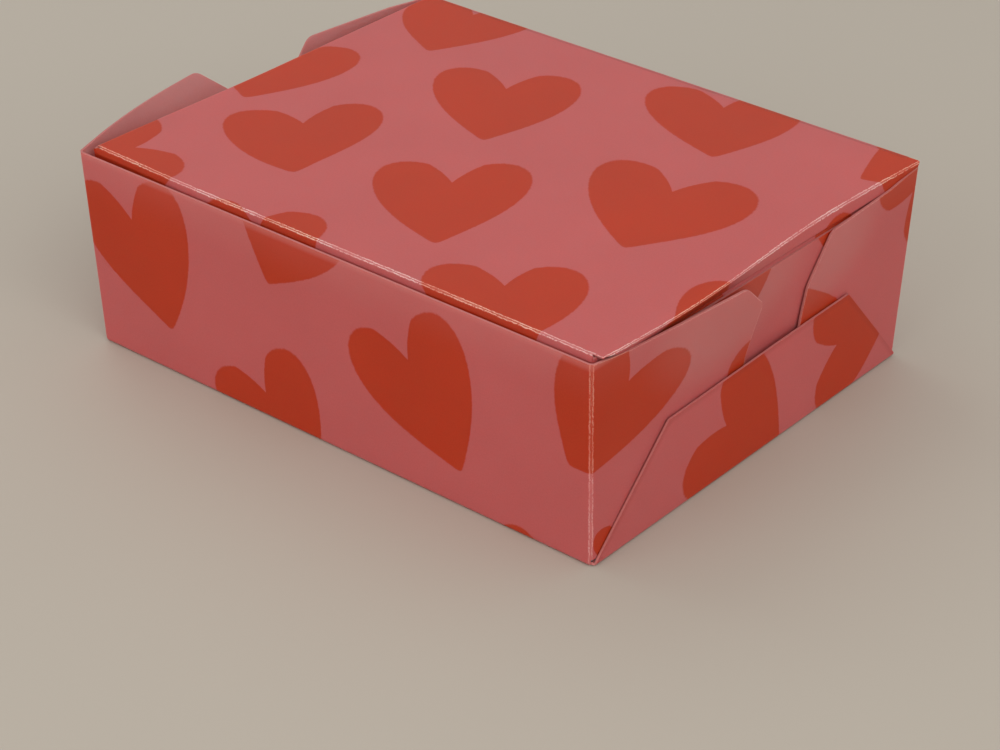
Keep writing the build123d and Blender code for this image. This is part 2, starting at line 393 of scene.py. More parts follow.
class StudioSettings(PropertyGroup):
    """Floor, lamps and camera."""

    floor: tint("Floor", "Pale floor", (0.485, 0.444, 0.385))
    floor_half: length("Floor half", "Half of the floor's side", 4.0)
    sky: FloatProperty(name="Sky", description="Strength of the even light from all round", default=0.63)
    sky_tint: tint("Sky tint", "Colour of the even light", (1.0, 0.98, 0.95))
    lamp_tint: tint("Lamp tint", "Colour of the lamps", (1.0, 0.97, 0.93))
    lamp_size: length("Lamp size", "Side of the square lamps", 0.9)
    lamp_aim: position("Lamp aim", "Point that the lamps face", (0.0, 0.0, 0.02))
    key: power("Key", "Power of the lamp at the far end", 1.7)
    key_place: position("Key place", "Place of the lamp at the far end", (-0.8, 0.1, 0.8))
    front: power("Front", "Power of the lamp in front", 2.6)
    front_place: position("Front place", "Place of the lamp in front", (-0.1, -1.0, 0.35))
    side: power("Side", "Power of the lamp at the near end", 4.8)
    side_place: position("Side place", "Place of the lamp at the near end", (0.85, -0.4, 0.75))
    eye: position("Eye", "Place of the camera", (0.2695, -0.3211, 0.2452))
    back: FloatVectorProperty(
        name="Backwards",
        description="Direction from the box to the camera",
        default=(0.5509, -0.6577, 0.5138),
    )
    lens: FloatProperty(
        name="Lens", description="Focal length on a 36 mm frame", default=98.72, unit="CAMERA"
    )
    near_clip: length("Near clip", "Distance from which the camera sees", 0.01)


class CardNet:
    """A flat sheet of card, drawn as named panels, then scored and folded."""

    def __init__(self):
        self.mesh = bmesh.new()
        self.panel = self.mesh.faces.layers.int.new("panel")
        self.wear = self.mesh.verts.layers.float.new("wear")
        # Layer that carries the painted shade along the bottom tabs' cut edges
        self.edge_shade = self.mesh.verts.layers.float.new("edge_shade")
        self.sheet = self.mesh.loops.layers.uv.new("sheet")
        self.names = []

    def draw(self, name, outline, rounded=()):
        """Adds a panel through its corners; rounded gives (corner number, cut-back) pairs."""
        corners = [self.mesh.verts.new((x, y, 0.0)) for x, y in outline]
        face = self.mesh.faces.new(corners)
        face[self.panel] = len(self.names)
        self.names.append(name)
        for number, cut_back in rounded:
            bmesh.ops.bevel(
                self.mesh, geom=[corners[number]], offset=cut_back, offset_type="OFFSET", affect="VERTICES",
                segments=ROUND_STEPS, profile=0.5, material=-1,
            )

    def join(self, print_sign):
        """Joins panels along their shared edges and lays the print's millimetres on the flat sheet."""
        bmesh.ops.remove_doubles(self.mesh, verts=self.mesh.verts, dist=JOIN_REACH)
        self.mesh.normal_update()
        turned = [face for face in self.mesh.faces if face.normal.z * print_sign < 0]
        bmesh.ops.reverse_faces(self.mesh, faces=turned)
        for face in self.mesh.faces:
            for loop in face.loops:
                loop[self.sheet].uv = (loop.vert.co.x / MM, loop.vert.co.y * print_sign / MM)

    def faces(self, panels):
        """Faces of the named panels."""
        numbers = {self.names.index(name) for name in panels}
        return [face for face in self.mesh.faces if face[self.panel] in numbers]

    def verts(self, panels):
        """Vertices of the named panels."""
        return list({vert for face in self.faces(panels) for vert in face.verts})

    def score(self, panels, point, across):
        """Cuts the panels along the line through point, square to across."""
        faces = self.faces(panels)
        edges = {edge for face in faces for edge in face.edges}
        verts = {vert for face in faces for vert in face.verts}
        geometry = faces + list(edges) + list(verts)
        bmesh.ops.bisect_plane(self.mesh, geom=geometry, plane_co=point, plane_no=across, dist=SCORE_REACH)

    def rule(self, panels, spacing):
        """Rules the panels both ways, so that they can curve."""
        for axis in range(2):
            places = [vert.co[axis] for vert in self.verts(panels)]
            low, high = min(places), max(places)
            count = max(1, round((high - low) / spacing))
            direction = Vector((axis == 0, axis == 1, 0.0))
            for number in range(1, count):
                self.score(panels, direction * (low + (high - low) * number / count), direction)

    def line(self, panel, corners, layer, width, strength=1.0):
        """Marks a line along the free edges that run through corners, fading over width into the panel."""
        points = [Vector((x, y, 0.0)) for x, y in corners]
        middle = sum((vert.co for vert in self.verts([panel])), Vector()) / len(self.verts([panel]))
        edges = list(zip(points, points[1:]))
        for start, end in edges:
            inward = UP.cross(end - start).normalized()
            if inward.dot(middle - start) < 0:
                inward.negate()
            self.score([panel], start + inward * width, inward)
        for vert in self.verts([panel]):
            for start, end in edges:
                along = end - start
                run = max(0.0, min(1.0, (vert.co - start).dot(along) / along.length_squared))
                away = (vert.co - start - along * run).length
                vert[layer] = max(vert[layer], strength * (1 - away / width))

    def fold(self, hinge, carried, start, end, turn, radius, wear=SLIGHT_WEAR):
        """Folds what lies to the right of the line from start to end by turn, upwards if it is positive.

        The hinge panels meet at the line and get the rounded fold; the carried panels turn with them.
        """
        start, end = Vector((*start, 0.0)), Vector((*end, 0.0))
        along = (end - start).normalized()
        across = along.cross(UP)
        reach = radius * math.tan(abs(turn) / 2)
        lines = [-reach - FOLD_MARGIN]
        lines += [reach * (2 * step / FOLD_STEPS - 1) for step in range(FOLD_STEPS + 1)]
        lines += [reach + FOLD_MARGIN]
        for offset in lines:
            self.score(hinge, start + across * offset, across)
        turned = set(self.verts(carried))
        for vert in self.verts(hinge):
            offset = (vert.co - start).dot(across)
            strength = wear * (1 - abs(offset) / (reach + FOLD_MARGIN))
            vert[self.wear] = max(vert[self.wear], strength)
            if offset > reach * FOLD_EDGE:
                turned.add(vert)
            elif offset > -reach * FOLD_EDGE and vert not in turned:
                part = turn * (offset + reach) / (2 * reach)
                sway = Matrix.Rotation(-part, 3, along) @ UP - UP
                rise = math.copysign(radius * (1 - math.cos(part)), turn)
                slide = radius * math.sin(abs(part)) - reach - offset
                vert.co += across * slide + UP * rise + sway * vert.co.z
        bmesh.ops.rotate(self.mesh, cent=start, matrix=Matrix.Rotation(-turn, 3, along), verts=list(turned))

    def piece(self, name, card, materials):
        """Gives the sheet its thickness, away from the print, and returns the finished object."""
        bmesh.ops.remove_doubles(self.mesh, verts=self.mesh.verts, dist=WELD_REACH)
        data = bpy.data.meshes.new(name)
        self.mesh.to_mesh(data)
        self.mesh.free()
        piece = bpy.data.objects.new(name, data)
        bpy.context.scene.collection.objects.link(piece)
        for material in materials:
            data.materials.append(material)
        shell = piece.modifiers.new("Card", "SOLIDIFY")
        shell.thickness = card
        shell.offset = -1
        shell.use_even_offset = True
        shell.use_quality_normals = True
        shell.material_offset = 1
        shell.material_offset_rim = 2
        bpy.context.view_layer.update()
        solid = piece.evaluated_get(bpy.context.evaluated_depsgraph_get())
        piece.modifiers.clear()
        piece.data = bpy.data.meshes.new_from_object(solid)
        piece.data.name = name
        piece.data.shade_smooth()
        piece.data.set_sharp_from_angle(angle=SHARP_ANGLE)
        bpy.data.meshes.remove(data)
        return piece


class Link:
    """An output socket of a shader tree, so that sums on it read as Python."""

    def __init__(self, tree, socket=None):
        self.tree = tree
        self.socket = socket

    def node(self, kind, settings=None, inputs=None, output=0):
        """Adds a node: its settings first, then the values or links of its sockets."""
        made = self.tree.nodes.new(kind)
        for name, value in (settings or {}).items():
            setattr(made, name, value)
        for name, value in (inputs or {}).items():
            if isinstance(value, Link):
                self.tree.links.new(value.socket, made.inputs[name])
            else:
                made.inputs[name].default_value = value
        return Link(self.tree, made.outputs[output])

    def math(self, operation, first, second=0.0):
        """Sum of two values or links by a named operation."""
        return self.node("ShaderNodeMath", {"operation": operation}, {0: first, 1: second})

    def __add__(self, other):
        return self.math("ADD", self, other)

    __radd__ = __add__

    def __sub__(self, other):
        return self.math("SUBTRACT", self, other)

    def __rsub__(self, other):
        return self.math("SUBTRACT", other, self)

    def __mul__(self, other):
        return self.math("MULTIPLY", self, other)

    __rmul__ = __mul__

    def __pow__(self, other):
        return self.math("POWER", self, other)

    def __abs__(self):
        return self.math("ABSOLUTE", self)

    def least(self, other):
        """The smaller of this value and another."""
        return self.math("MINIMUM", self, other)

    def most(self, other):
        """The larger of this value and another."""
        return self.math("MAXIMUM", self, other)

    def dot(self, row):
        """This vector measured along a row."""
        return self.node("ShaderNodeVectorMath", {"operation": "DOT_PRODUCT"}, {0: self, 1: row}, "Value")

    def ramp(self, start, stop):
        """Smooth step from 0 at start to 1 at stop."""
        return self.node(
            "ShaderNodeMapRange",
            {"interpolation_type": "SMOOTHSTEP"},
            {"Value": self, "From Min": start, "From Max": stop, "To Min": 0.0, "To Max": 1.0},
        )

    def spread(self, low, high):
        """Value that goes from low to high as this one goes from 0 to 1."""
        return low + self * (high - low)

    def noise(self, scale, detail, roughness):
        """Noise over this vector, NOISE_MEAN on the average."""
        inputs = {"Vector": self, "Scale": scale, "Detail": detail, "Roughness": roughness}
        return self.node("ShaderNodeTexNoise", None, inputs)

    def attribute(self, name):
        """Value that the mesh carries under this name."""
        return self.node("ShaderNodeAttribute", {"attribute_name": name}, None, "Fac")

    def part(self, axis):
        """One part of this vector, by the name of its axis."""
        return self.node("ShaderNodeSeparateXYZ", None, {0: self}, axis)

    def tinted(self, low, high):
        """Colour that goes from low to high as this value goes from 0 to 1."""
        inputs = {MIX_FACTOR: self, MIX_LOW: low, MIX_HIGH: high}
        return self.node("ShaderNodeMix", {"data_type": "RGBA"}, inputs, MIX_RESULT)

    def mottled(self, colour, contrast):
        """The colour, darker by contrast where this value is 0 and lighter by it where this is 1."""
        return self.tinted(solid(colour, 1 - contrast), solid(colour, 1 + contrast))


def solid(colour, factor=1.0):
    """Colour with alpha, made darker or lighter by factor."""
    return (*[min(1.0, part * factor) for part in colour], 1.0)


def mottle(fibre, cloud, shares, middle=NOISE_MEAN):
    """Value about middle in which the fibres and the clouding show by their shares."""
    fibre_share, cloud_share = shares
    return (fibre - NOISE_MEAN) * fibre_share + (cloud - NOISE_MEAN) * cloud_share + middle


def new_shader(name):
    """Empty material and the start of its links."""
    material = bpy.data.materials.new(name)
    material.use_nodes = True
    material.node_tree.nodes.clear()
    return material, Link(material.node_tree)


def surface(start, inputs):
    """Principled surface with these inputs, joined to the material's output."""
    shader = start.node("ShaderNodeBsdfPrincipled", None, inputs)
    output = start.tree.nodes.new("ShaderNodeOutputMaterial")
    start.tree.links.new(shader.socket, output.inputs["Surface"])


def bump(height, strength):
    """Normal that follows the relief, in which a height of 1 is RELIEF_DEPTH."""
    return height.node(
        "ShaderNodeBump", None, {"Strength": strength, "Distance": RELIEF_DEPTH, "Height": height}
    )


def heart_rows(x, y, tilt, half_width, half_length, slant):
    """Rows that take a place on the sheet to a heart's own axes."""
    cosine, sine = math.cos(math.radians(tilt)), math.sin(math.radians(tilt))
    across, along = Vector((cosine, sine)), Vector((-sine, cosine))
    across = (across - along * slant) / half_width
    along = along / half_length
    place = Vector((x, y))
    return (*across, -across.dot(place)), (*along, -along.dot(place))


def heart_field(sheet, hearts):
    """Least heart value over the hearts, which is below 1 inside a heart."""
    placed = sheet.node("ShaderNodeVectorMath", {"operation": "ADD"}, {0: sheet, 1: UP})
    field = None
    for *outline, uneven in hearts:
        row_across, row_along = heart_rows(*outline)
        across, along = placed.dot(row_across), placed.dot(row_along)
        square = across * across
        rounding = LOBE_ROUNDING + TIP_ROUNDING * along.ramp(0.0, -HEART_FADE)
        lobe = LOBE_HEIGHT * (square + rounding) ** (LOBE_POWER / 2)
        if uneven:
            lobe = lobe * (1 + uneven * across)
        notch = (1 - abs(across) * (1 / NOTCH_HALF_WIDTH)).most(0.0)
        rise = along - lobe + notch * along.ramp(0.0, HEART_FADE) * NOTCH_DEPTH
        value = rise * rise + square
        field = field.least(value) if field else value
    return field


def heart_ink(sheet, hearts):
    """Red ink, 1 inside the hearts and 0 outside, with slightly uneven edges."""
    wander = (sheet.noise(*INK_NOISE) - NOISE_MEAN) * INK_WANDER
    edge = heart_field(sheet, hearts) ** 0.5 + wander
    return 1 - edge.ramp(1 - INK_SOFTNESS, 1 + INK_SOFTNESS)


def painted_sheen_and_rub(sheet, ink, cloud, rim, tip_height):
    """Painted sheen and rubbed film along the rims and round the tabs' tips, fainter on the hearts."""
    reach = abs(sheet.part("Y"))
    aside = (abs(sheet.part("X")) - TIP_ASIDE) * (1 / TIP_WIDTH)
    above = (reach - tip_height) * (1 / TIP_HEIGHT)
    tip = 1 - (aside * aside + above * above).ramp(*TIP_FADE)
    band = reach.ramp(rim - RIM_BAND, rim) * cloud.spread(*RIM_SHEEN_AND_RUB)
    sheen_and_rub = band.most(tip * cloud.spread(*TIP_SHEEN_AND_RUB)) * ink.spread(1.0, HEART_SHEEN_AND_RUB)
    start, stop = RIM_LINE
    return sheen_and_rub.most(reach.ramp(rim - start, rim - stop) * RIM_LINE_SHEEN_AND_RUB)


def film_cracks(sheet, wear):
    """Broken lines of cracked film on both sides of a worn fold, and rubbed patches on its middle."""
    wander = sheet.noise(*WANDER_NOISE)
    beside = abs(1 - wear - wander.ramp(*CRACK_WANDER).spread(*CRACK_PLACE))
    breaks = sheet.noise(*BREAK_NOISE).ramp(*CRACK_BREAKS)
    crack = (1 - beside.ramp(*CRACK_SOFTNESS)) * breaks * wear.ramp(*CRACK_START)
    rubbed = wear.ramp(*RUB_START) * wander.ramp(*RUB_WANDER).spread(*RUB_STRENGTH)
    patches = sheet.noise(*PATCH_NOISE).ramp(*PATCH_RANGE).spread(*PATCH_STRENGTH)
    return crack.most(rubbed) * patches


def printed_card(name, colours, hearts, rim, tip_height, cracks):
    """Printed side: hearts on pink, painted sheen and rubbed film at the rims and the tabs' tips, painted
    shade along the bottom tabs' edges, and cracked film on the folds.
    """
    material, start = new_shader(name)
    sheet = start.node("ShaderNodeUVMap", {"uv_map": "sheet"})
    fibre = sheet.noise(*FIBRE_NOISE)
    cloud = sheet.noise(*CLOUD_NOISE)
    ink = heart_ink(sheet, hearts)
    tone = mottle(fibre, cloud, FILM_TONE)
    printed = ink.tinted(tone.mottled(colours.pink, PINK_CONTRAST), tone.mottled(colours.red, RED_CONTRAST))
    # Painted sheen and rubbed film laid over the print
    sheened_and_rubbed = painted_sheen_and_rub(sheet, ink, cloud, rim, tip_height).tinted(printed, solid(colours.sheen_and_rub))
    # Painted shade along the bottom tabs' cut edges
    line = start.attribute("edge_shade").ramp(*SHADE_LINE_FADE) * SHADE_LINE_STRENGTH
    shade_lined = line.tinted(sheened_and_rubbed, solid(colours.line))
    crack = film_cracks(sheet, start.attribute("wear")) * cracks
    worn = ink.tinted(solid(colours.worn_pink), solid(colours.worn_red))
    relief = fibre * FIBRE_RELIEF + cloud * CLOUD_RELIEF + crack * CRACK_RELIEF
    surface(start, {
        "Base Color": crack.tinted(shade_lined, worn),
        "Roughness": mottle(fibre, cloud, FILM_ROUGH_TONE, FILM_ROUGHNESS) + crack * CRACK_ROUGHNESS,
        "Subsurface Weight": GLOW_SHARE,
        "Subsurface Radius": GLOW_RADIUS,
        "Subsurface Scale": GLOW_SCALE,
        "Specular IOR Level": 0.13,
        "Coat Weight": 0.03,
        "Coat Roughness": 0.25,
        "Normal": bump(relief, FILM_BUMP),
    })
    return material


def card_back(name, colours):
    """Unprinted side: matt, fibrous card."""
    material, start = new_shader(name)
    sheet = start.node("ShaderNodeUVMap", {"uv_map": "sheet"})
    fibre = sheet.noise(*BACK_FIBRE_NOISE)
    cloud = sheet.noise(*BACK_CLOUD_NOISE)
    surface(start, {
        "Base Color": mottle(fibre, cloud, BACK_TONE).mottled(colours.back, BACK_CONTRAST),
        "Roughness": fibre.spread(*BACK_ROUGHNESS),
        "Subsurface Weight": GLOW_SHARE,
        "Subsurface Radius": GLOW_RADIUS,
        "Subsurface Scale": GLOW_SCALE,
        "Specular IOR Level": 0.35,
        "Normal": bump(fibre, BACK_BUMP),
    })
    return material


def cut_edge(name, colours):
    """Cut edge of the card, pale and fibrous."""
    material, start = new_shader(name)
    place = start.node("ShaderNodeTexCoord", None, None, "Object")
    fibre = place.noise(*EDGE_NOISE)
    surface(start, {
        "Base Color": fibre.mottled(colours.edge, EDGE_CONTRAST),
        "Roughness": fibre.spread(*EDGE_ROUGHNESS),
        "Specular IOR Level": 0.3,
    })
    return material


def floor_paint(name, colour):
    """Plain pale floor with a faint grain."""
    material, start = new_shader(name)
    place = start.node("ShaderNodeTexCoord", None, None, "Object")
    cloud = place.noise(*FLOOR_NOISE)
    surface(start, {
        "Base Color": cloud.mottled(colour, FLOOR_CONTRAST),
        "Roughness": cloud.spread(*FLOOR_ROUGHNESS),
        "Specular IOR Level": 0.25,
    })
    return material


def wall_foot(box):
    """Distance of a long wall's foot from the middle of the box."""
    return box.width / 2 - box.wall_lean


def end_foot(box):
    """Distance of an end's foot from the middle of the box."""
    return box.length / 2 - box.end_lean


def wall_slope(box):
    """Height of a long wall along its slope."""
    return math.hypot(box.height, box.wall_lean)


def rim_drops(tabs, face):
    """Drops of a long wall's rim at its folds and between them."""
    return (tabs.back_rim, tabs.back_middle) if face == BACK else (0.0, 0.0)


def unfolded_tab(box, side, face, reach, height):
    """Place on the flat sheet of a side tab's point: reach along the end from its foot, and height up."""
    turn = math.atan(box.wall_lean / box.height) + math.atan(box.end_lean / box.height)
    out = reach * math.cos(turn) + height * math.sin(turn)
    rise = height * math.cos(turn) - reach * math.sin(turn)
    return side * (end_foot(box) + out), face * (wall_foot(box) + rise)


def fold_point(box, side, face, height):
    """Point of the fold between a long wall and its side tab, on the flat sheet."""
    return unfolded_tab(box, side, face, -box.wall_lean * height / box.height, height)


def tab_outline(box, tabs, side, face):
    """Corners of a side tab on the flat sheet, from the foot of its fold round to the top of it."""
    if side == NEAR:
        slit, shoulder, drop = tabs.near_slit, tabs.near_shoulder, tabs.near_top
    else:
        slit, shoulder, drop = tabs.far_slit, tabs.far_shoulder, tabs.far_top
    corner_drop = tabs.corner_drop
    if (side, face) == (NEAR, BACK):
        shoulder, drop = shoulder + tabs.near_back_top, drop + tabs.near_back_top
        corner_drop = tabs.near_back_corner
    at_rim = box.width / 2 - tabs.slit_from_middle
    at_floor = at_rim - tabs.slit_slant
    if face == BACK:
        at_rim = box.width - slit - at_rim
        at_floor = box.width - slit - at_floor
    top = box.height - drop
    corner = top - corner_drop

    def free_edge(height):
        return at_floor + (at_rim - at_floor) * height / box.height - box.wall_lean

    places = [
        (free_edge(tabs.foot), tabs.foot),
        (free_edge(corner), corner),
        (free_edge(corner) - tabs.corner_run, top),
        (tabs.shoulder_run - box.wall_lean, box.height - shoulder),
    ]
    outline = [unfolded_tab(box, side, face, reach, height) for reach, height in places]
    at_fold, _ = rim_drops(tabs, face)
    low, high = fold_point(box, side, face, tabs.foot), fold_point(box, side, face, box.height - at_fold)
    return [low] + outline + [high]


def swing_tab(net, panel, box, tabs, side, face, swing, bow):
    """Stands the upper part of a side tab open round its fold and bows it, most at the rim."""
    start = Vector((*fold_point(box, side, face, 0.0), 0.0))
    end = Vector((*fold_point(box, side, face, box.height), 0.0))
    along = (end - start).normalized()
    for vert in net.verts([panel]):
        rise = (vert.co - start).dot(along)
        part = (rise - tabs.bottom_height) / (box.height - tabs.bottom_height)
        if part <= 0:
            continue
        turn = swing * part * side * face
        bulge = side * bow * part * math.sin(math.pi * min(1.0, abs(vert.co.z) * 2 / box.width))
        vert.co = start + Matrix.Rotation(turn, 3, along) @ (vert.co - start)
        vert.co.x += bulge


def draw_tray(box, tabs):
    """Flat net of the tray, printed side down: bottom, long walls, side tabs and bottom tabs."""
    net = CardNet()
    foot_y, foot_x = wall_foot(box), end_foot(box)
    tab_x = foot_x + tabs.bottom_gap + box.card
    tab_y = foot_y - box.fold_radius
    net.draw("bottom", [
        (tab_x, -tab_y), (tab_x, tab_y), (foot_x, foot_y), (-foot_x, foot_y),
        (-tab_x, tab_y), (-tab_x, -tab_y), (-foot_x, -foot_y), (foot_x, -foot_y),
    ])
    rim = foot_y + wall_slope(box)
    edge_x = box.length / 2 - box.fold_radius
    rounded = [(corner, tabs.corner_round) for corner in TAB_CUT_CORNERS]
    for face, wall in WALLS:
        at_fold, between = rim_drops(tabs, face)
        top = face * (rim - between)
        heights = (0.0, tabs.foot, box.height - at_fold)
        near, far = [[fold_point(box, side, face, height) for height in heights] for side in (NEAR, FAR)]
        net.draw(wall, far[::-1] + near + [(edge_x, top), (-edge_x, top)])
        for side, end in ENDS:
            net.draw(f"{end} {wall} tab", tab_outline(box, tabs, side, face), rounded)
    for side, end in ENDS:
        outline = bottom_tab_outline(box, tabs, side)
        net.draw(f"{end} bottom tab", [(side * tab_x, -tab_y)] + outline + [(side * tab_x, tab_y)])
    net.join(-1)
    return net


def bottom_lean(box, tabs):
    """Lean of a bottom tab out of the upright."""
    return math.atan(box.end_lean / box.height + tabs.bottom_lift / tabs.bottom_height)


def bottom_tab_outline(box, tabs, side):
    """Free edges of a bottom tab on the flat sheet, from the front round to the back."""
    tab_x = end_foot(box) + tabs.bottom_gap + box.card
    tab_y = wall_foot(box) - box.fold_radius
    slope = 1 / math.cos(bottom_lean(box, tabs))
    top_y = box.width / 2 - tabs.bottom_taper
    low, high = tabs.bottom_height - tabs.bottom_skew / 2, tabs.bottom_height + tabs.bottom_skew / 2
    return [
        (side * (tab_x + box.fold_radius), -tab_y),
        (side * (tab_x + low * slope), -top_y),
        (side * (tab_x + high * slope), top_y),
        (side * (tab_x + box.fold_radius), tab_y),
    ]


def fold_tray(net, box, tabs):
    """Scores and folds the tray's net: side tabs first, then the bottom tabs and the long walls."""
    swings = {
        (NEAR, FRONT): tabs.near_front_swing, (NEAR, BACK): tabs.near_back_swing,
        (FAR, FRONT): tabs.far_front_swing, (FAR, BACK): tabs.far_back_swing,
    }
    for name in net.names:
        net.rule([name], box.grid)
    for side, end in ENDS:
        # Painted shade line along the free edges of each bottom tab
        net.line(f"{end} bottom tab", bottom_tab_outline(box, tabs, side), net.edge_shade, tabs.line_width)
    for face, wall in WALLS:
        for side, end in ENDS:
            tab = f"{end} {wall} tab"
            # Pale line along the side tab's cut edges: painted highlight and rubbed film
            net.line(tab, tab_outline(box, tabs, side, face)[1:], net.wear, tabs.highlight_and_rub_width, EDGE_HIGHLIGHT_AND_WEAR)
            ends = [fold_point(box, side, face, 0.0), fold_point(box, side, face, box.height)]
            if side * face == FRONT:
                ends.reverse()
            worn = FULL_WEAR if side == NEAR else FAR_TAB_WEAR
            net.fold([wall, tab], [], *ends, SQUARE, box.fold_radius, worn)
            bow = tabs.far_front_bow if (side, face) == (FAR, FRONT) else 0.0
            swing_tab(net, tab, box, tabs, side, face, swings[side, face], bow)
    tab_x = end_foot(box) + tabs.bottom_gap + box.card
    turn = SQUARE - bottom_lean(box, tabs)
    for side, end in ENDS:
        line = [(side * tab_x, -side * box.width), (side * tab_x, side * box.width)]
        net.fold(["bottom", f"{end} bottom tab"], [], *line, turn, box.fold_radius, FOOT_WEAR)
    turn = SQUARE - math.atan(box.wall_lean / box.height)
    for face, wall in WALLS:
        line = [(face * box.length, face * wall_foot(box)), (-face * box.length, face * wall_foot(box))]
        carried = [f"near {wall} tab", f"far {wall} tab"]
        net.fold(["bottom", wall], carried, *line, turn, box.fold_radius, FOOT_WEAR)
    flare_corner(net, box, NEAR, BACK, box.near_flare)
    flare_corner(net, box, FAR, FRONT, box.far_flare)


def flare_corner(net, box, side, face, amount, back=0.0):
    """Leans one corner of the rim out along the box and backwards, as a hand-folded corner does."""
    lean = Vector((side * amount, back, 0.0))
    for vert in net.mesh.verts:
        towards_end = ease(vert.co.x * side, box.length / 4, box.length / 2)
        towards_wall = ease(vert.co.y * face, 0.0, box.width / 2)
        vert.co += lean * towards_end * towards_wall * max(0.0, vert.co.z / box.height)


def ease(value, low, high):
    """Smooth step from 0 at low to 1 at high."""
    part = max(0.0, min(1.0, (value - low) / (high - low)))
    return part * part * (3 - 2 * part)


def draw_lid(box, lid):
    """Flat net of the lid, printed side up: panel, front skirt, end skirts and ears."""
    net = CardNet()
    front = lid.front_inset - box.width / 2
    back = box.width / 2 - lid.hinge_gap
    near, far = box.length / 2 - lid.near_inset, box.length / 2 - lid.far_inset
    skirt = math.hypot(lid.skirt_depth + box.card, lid.skirt_lean)
    ear_x = ear_face(box, lid)
    root = front + box.fold_radius
    strip = ear_x - box.fold_radius
    far_strip = lid.far_relief - strip
    net.draw("panel", [
        (-far, front), (far_strip, front), (strip, front), (near, front), (near, root), (near, back),
        (-far, back), (-far, root),
    ])
    ear_top, ear_foot = lid.ear_drop + box.card, lid.end_depth + box.card
    corner = lid.corner_drop + box.card
    net.draw("front skirt", [
        (far_strip, front), (strip, front), (ear_x, front - corner), (ear_x, front - ear_foot),
        (strip, front - skirt), (-strip, front - skirt),
        (-ear_x, front - ear_foot), (-ear_x, front - corner),
    ])
    lean = skirt_lean(box, lid)
    tip = back - lid.end_margin - lid.end_taper
    ear_corner = front + lid.corner_run
    ear = [(tip, ear_foot), (tip, ear_top), (ear_corner + lid.corner_slope, ear_top), (ear_corner, corner)]
    for side, end, crease in ((NEAR, "near", near), (FAR, "far", far)):
        net.draw(f"{end} ear", [(side * ear_x, front - corner), (side * ear_x, front - ear_foot)] + [
            unfolded_ear(side, ear_x, front, lean, place, depth) for place, depth in ear
        ])
        band, jog, _ = skirt_steps(box, lid, crease)
        deep = crease + band + jog + lid.end_depth - lid.step_drop
        front_wing, back_wing = crease + lid.front_wing, crease + lid.back_wing
        start = root + lid.end_margin
        net.draw(f"{end} end skirt", [
            (side * crease, root), (side * front_wing, start), (side * deep, start), (side * deep, tip),
            (side * back_wing, back - lid.back_wing / 2), (side * crease, back),
        ], [(SKIRT_BACK_CORNER, lid.end_round)])
    net.join(1)
    return net


def skirt_steps(box, lid, crease):
    """Lengths of an end skirt's band and of the jog under it, and the jog's angle, 0 if there is none."""
    run, drop = crease - (ear_face(box, lid) - box.card), lid.step_drop + box.card
    if run < box.card:
        return lid.band_depth, drop - lid.band_depth, 0.0
    run -= lid.band_depth * math.tan(lid.band_lean)
    drop -= lid.band_depth
    return lid.band_depth / math.cos(lid.band_lean), math.hypot(run, drop), math.atan2(run, drop)


def skirt_lean(box, lid):
    """Angle by which the front skirt leans in."""
    return math.atan(lid.skirt_lean / (lid.skirt_depth + box.card))


def unfolded_ear(side, ear_x, front, lean, place, depth):
    """Point of the flat sheet that comes to lie on an ear, at a place along it and a depth below the top."""
    run = place - front
    out = run * math.cos(lean) - depth * math.sin(lean)
    down = depth * math.cos(lean) + run * math.sin(lean)
    return side * (ear_x + out), front - down


def ear_face(box, lid):
    """Distance of an ear's outer face from the middle of the box."""
    return box.length / 2 - box.end_lean * lid.end_depth / box.height - box.card - lid.clearance


def fold_lid(net, box, lid):
    """Scores and folds the lid's net, then gives it the waves and leans of hand-folded card."""
    front = lid.front_inset - box.width / 2
    ear_x = ear_face(box, lid)
    for name in net.names:
        net.rule([name], box.grid)
    for side, end, inset in ((NEAR, "near", lid.near_inset), (FAR, "far", lid.far_inset)):
        line = [(side * ear_x, -side * box.width), (side * ear_x, side * box.width)]
        net.fold(["front skirt", f"{end} ear"], [], *line, -SQUARE, box.fold_radius)
        crease = box.length / 2 - inset
        band, jog, over = skirt_steps(box, lid, crease)
        lean = lid.band_lean if side == NEAR else 0.0
        worn = FULL_WEAR if side == NEAR else FAR_CREASE_WEAR
        skirt = f"{end} end skirt"
        folds = (
            ([skirt], crease + band + jog, over, lid.jog_radius, SLIGHT_WEAR),
            ([skirt], crease + band, lean - over, lid.jog_radius, SLIGHT_WEAR),
            (["panel", skirt], crease, -SQUARE - lean, lid.crease_radius, worn),
        )
        for hinge, place, turn, radius, wear in folds:
            line = [(side * place, -side * box.width), (side * place, side * box.width)]
            net.fold(hinge, [], *line, turn, radius, wear)
    under_band = lid.front_slope - SQUARE - skirt_lean(box, lid)
    folds = (
        (["front skirt"], front - lid.front_band, under_band, lid.crease_radius, NO_WEAR),
        (["panel", "front skirt"], front, -lid.front_slope, box.fold_radius, FULL_WEAR),
    )
    for hinge, place, turn, radius, wear in folds:
        line = [(-box.length, place), (box.length, place)]
        net.fold(hinge, ["near ear", "far ear"], *line, turn, radius, wear)
    bow_crease(net, box, lid, box.length / 2 - lid.near_inset)
    bmesh.ops.translate(net.mesh, vec=UP * (box.height + box.card), verts=net.mesh.verts)
    flare_corner(net, box, NEAR, BACK, box.near_flare)
    flare_corner(net, box, FAR, FRONT, box.lid_flare, box.lid_back)


